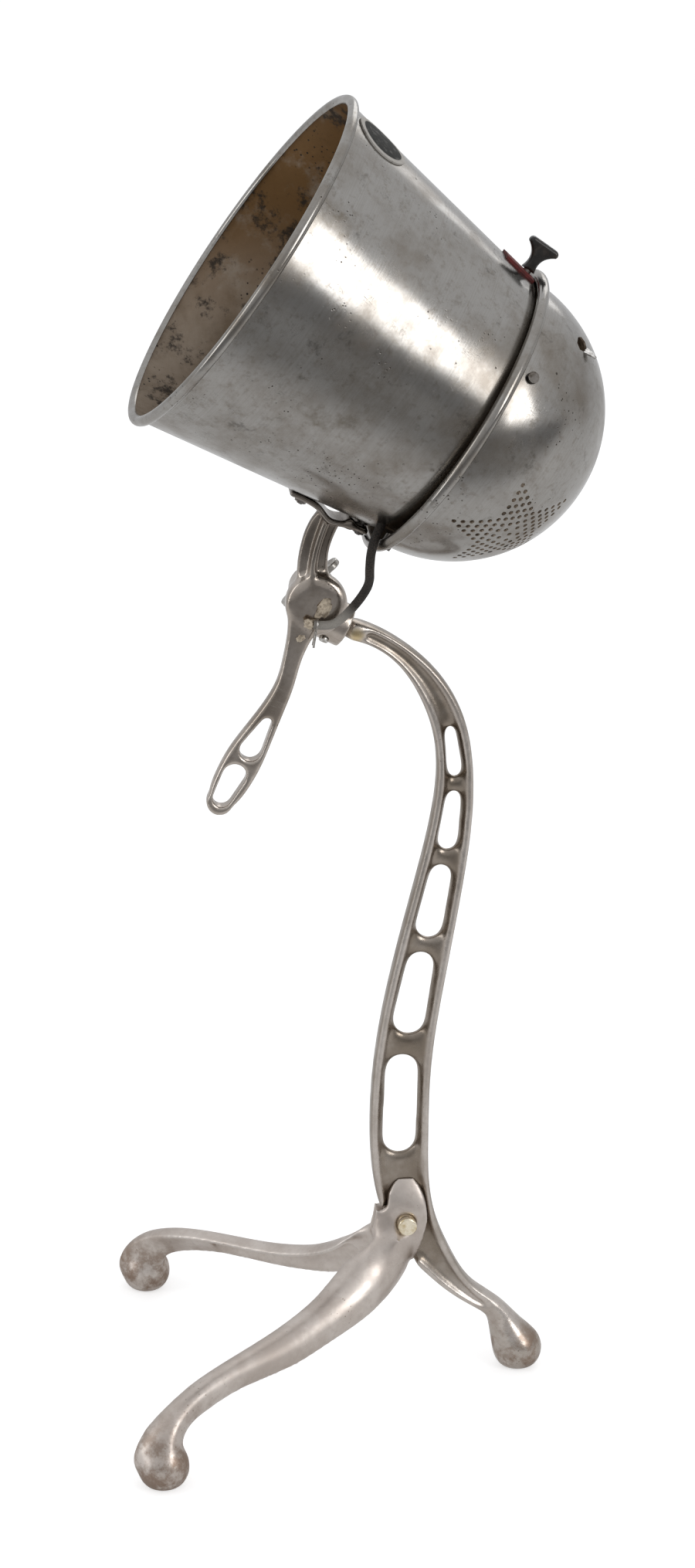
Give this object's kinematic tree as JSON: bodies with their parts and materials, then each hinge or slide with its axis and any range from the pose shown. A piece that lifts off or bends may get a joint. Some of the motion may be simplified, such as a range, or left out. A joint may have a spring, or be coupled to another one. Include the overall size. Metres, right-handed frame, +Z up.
{
  "type": "light therapy lamp",
  "caption": "Table-top light therapy lamp: conical spun reflector with a vented dome on a tilting, swivelling bracket with a pierced grip, on a slotted S-shaped cast stand with pinned legs.",
  "frame": {"origin": "middle of the part's box in plan, on the surface it stands on", "axes": "+Z up, +X to the right of the side view (towards the single foot of the stem), +Y away from the viewer of that view"},
  "size_m": [0.2586, 0.2582, 0.7275],
  "materials": {
    "cast": "nickel-plated casting, worn and tarnished",
    "spun_aluminium": "spun, dulled and stained",
    "brass": "aged",
    "steel": "darkened",
    "nickel": "dull nickel plate",
    "ebonite": "moulded hard rubber, faded",
    "red_fibre": "vulcanised fibre",
    "grey_fibre": "pressed paper fibre",
    "porcelain": "glazed porcelain",
    "bulb_glass": "clear blown glass",
    "carbon": "carbon filament",
    "cloth_cord": "braided cotton over rubber"
  },
  "bodies": {
    "stand": {"stem": "cast", "front_leg": "cast", "rear_leg": "cast", "leg_pin": "brass", "leg_nut": "steel"},
    "knuckle": {"knuckle": "cast", "swivel_screw": "steel"},
    "wing_nut": {"wing_nut": "nickel"},
    "switch_key": {"switch_key": "ebonite", "key_shaft": "steel"},
    "head": {"handle_casting": "cast", "shade": "spun_aluminium", "dome": "spun_aluminium", "socket_cap": "brass", "socket_shell": "brass", "screw_shell": "brass", "centre_contact": "brass", "bulb_base": "brass", "socket_nipple": "brass", "nipple_nut": "brass", "pivot_stud": "steel", "pivot_washer": "steel", "strap_screws": "steel", "strap_nuts": "steel", "strap_washer": "steel", "rim_screws": "steel", "rim_spacers": "steel", "socket_bracket": "steel", "cord_tie": "steel", "badge_plate": "nickel", "key_plate": "red_fibre", "socket_liner": "grey_fibre", "socket_core": "porcelain", "bulb_glass": "bulb_glass", "bulb_stem": "bulb_glass", "filament": "carbon", "cord": "cloth_cord", "socket_lead": "cloth_cord"}
  },
  "joints": [
    {"name": "head_swivel", "type": "hinge", "parent": "stand", "child": "knuckle", "pos_m": [-0.024, 0, 0.45649], "axis": [-0.8829, 0, 0.4695], "range_deg": [-45, 45]},
    {"name": "head_tilt", "type": "hinge", "parent": "knuckle", "child": "head", "pos_m": [-0.02002, 0, 0.464], "axis": [0, 1, 0], "range_deg": [-52, 18]},
    {"name": "wing_nut_turn", "type": "hinge", "parent": "head", "child": "wing_nut", "pos_m": [-0.02002, 0, 0.464], "axis": [0, 1, 0], "continuous": true},
    {"name": "key_turn", "type": "hinge", "parent": "head", "child": "switch_key", "pos_m": [0.04265, -0.019, 0.57472], "axis": [0.5821, 0, 0.8131], "continuous": true}
  ]
}
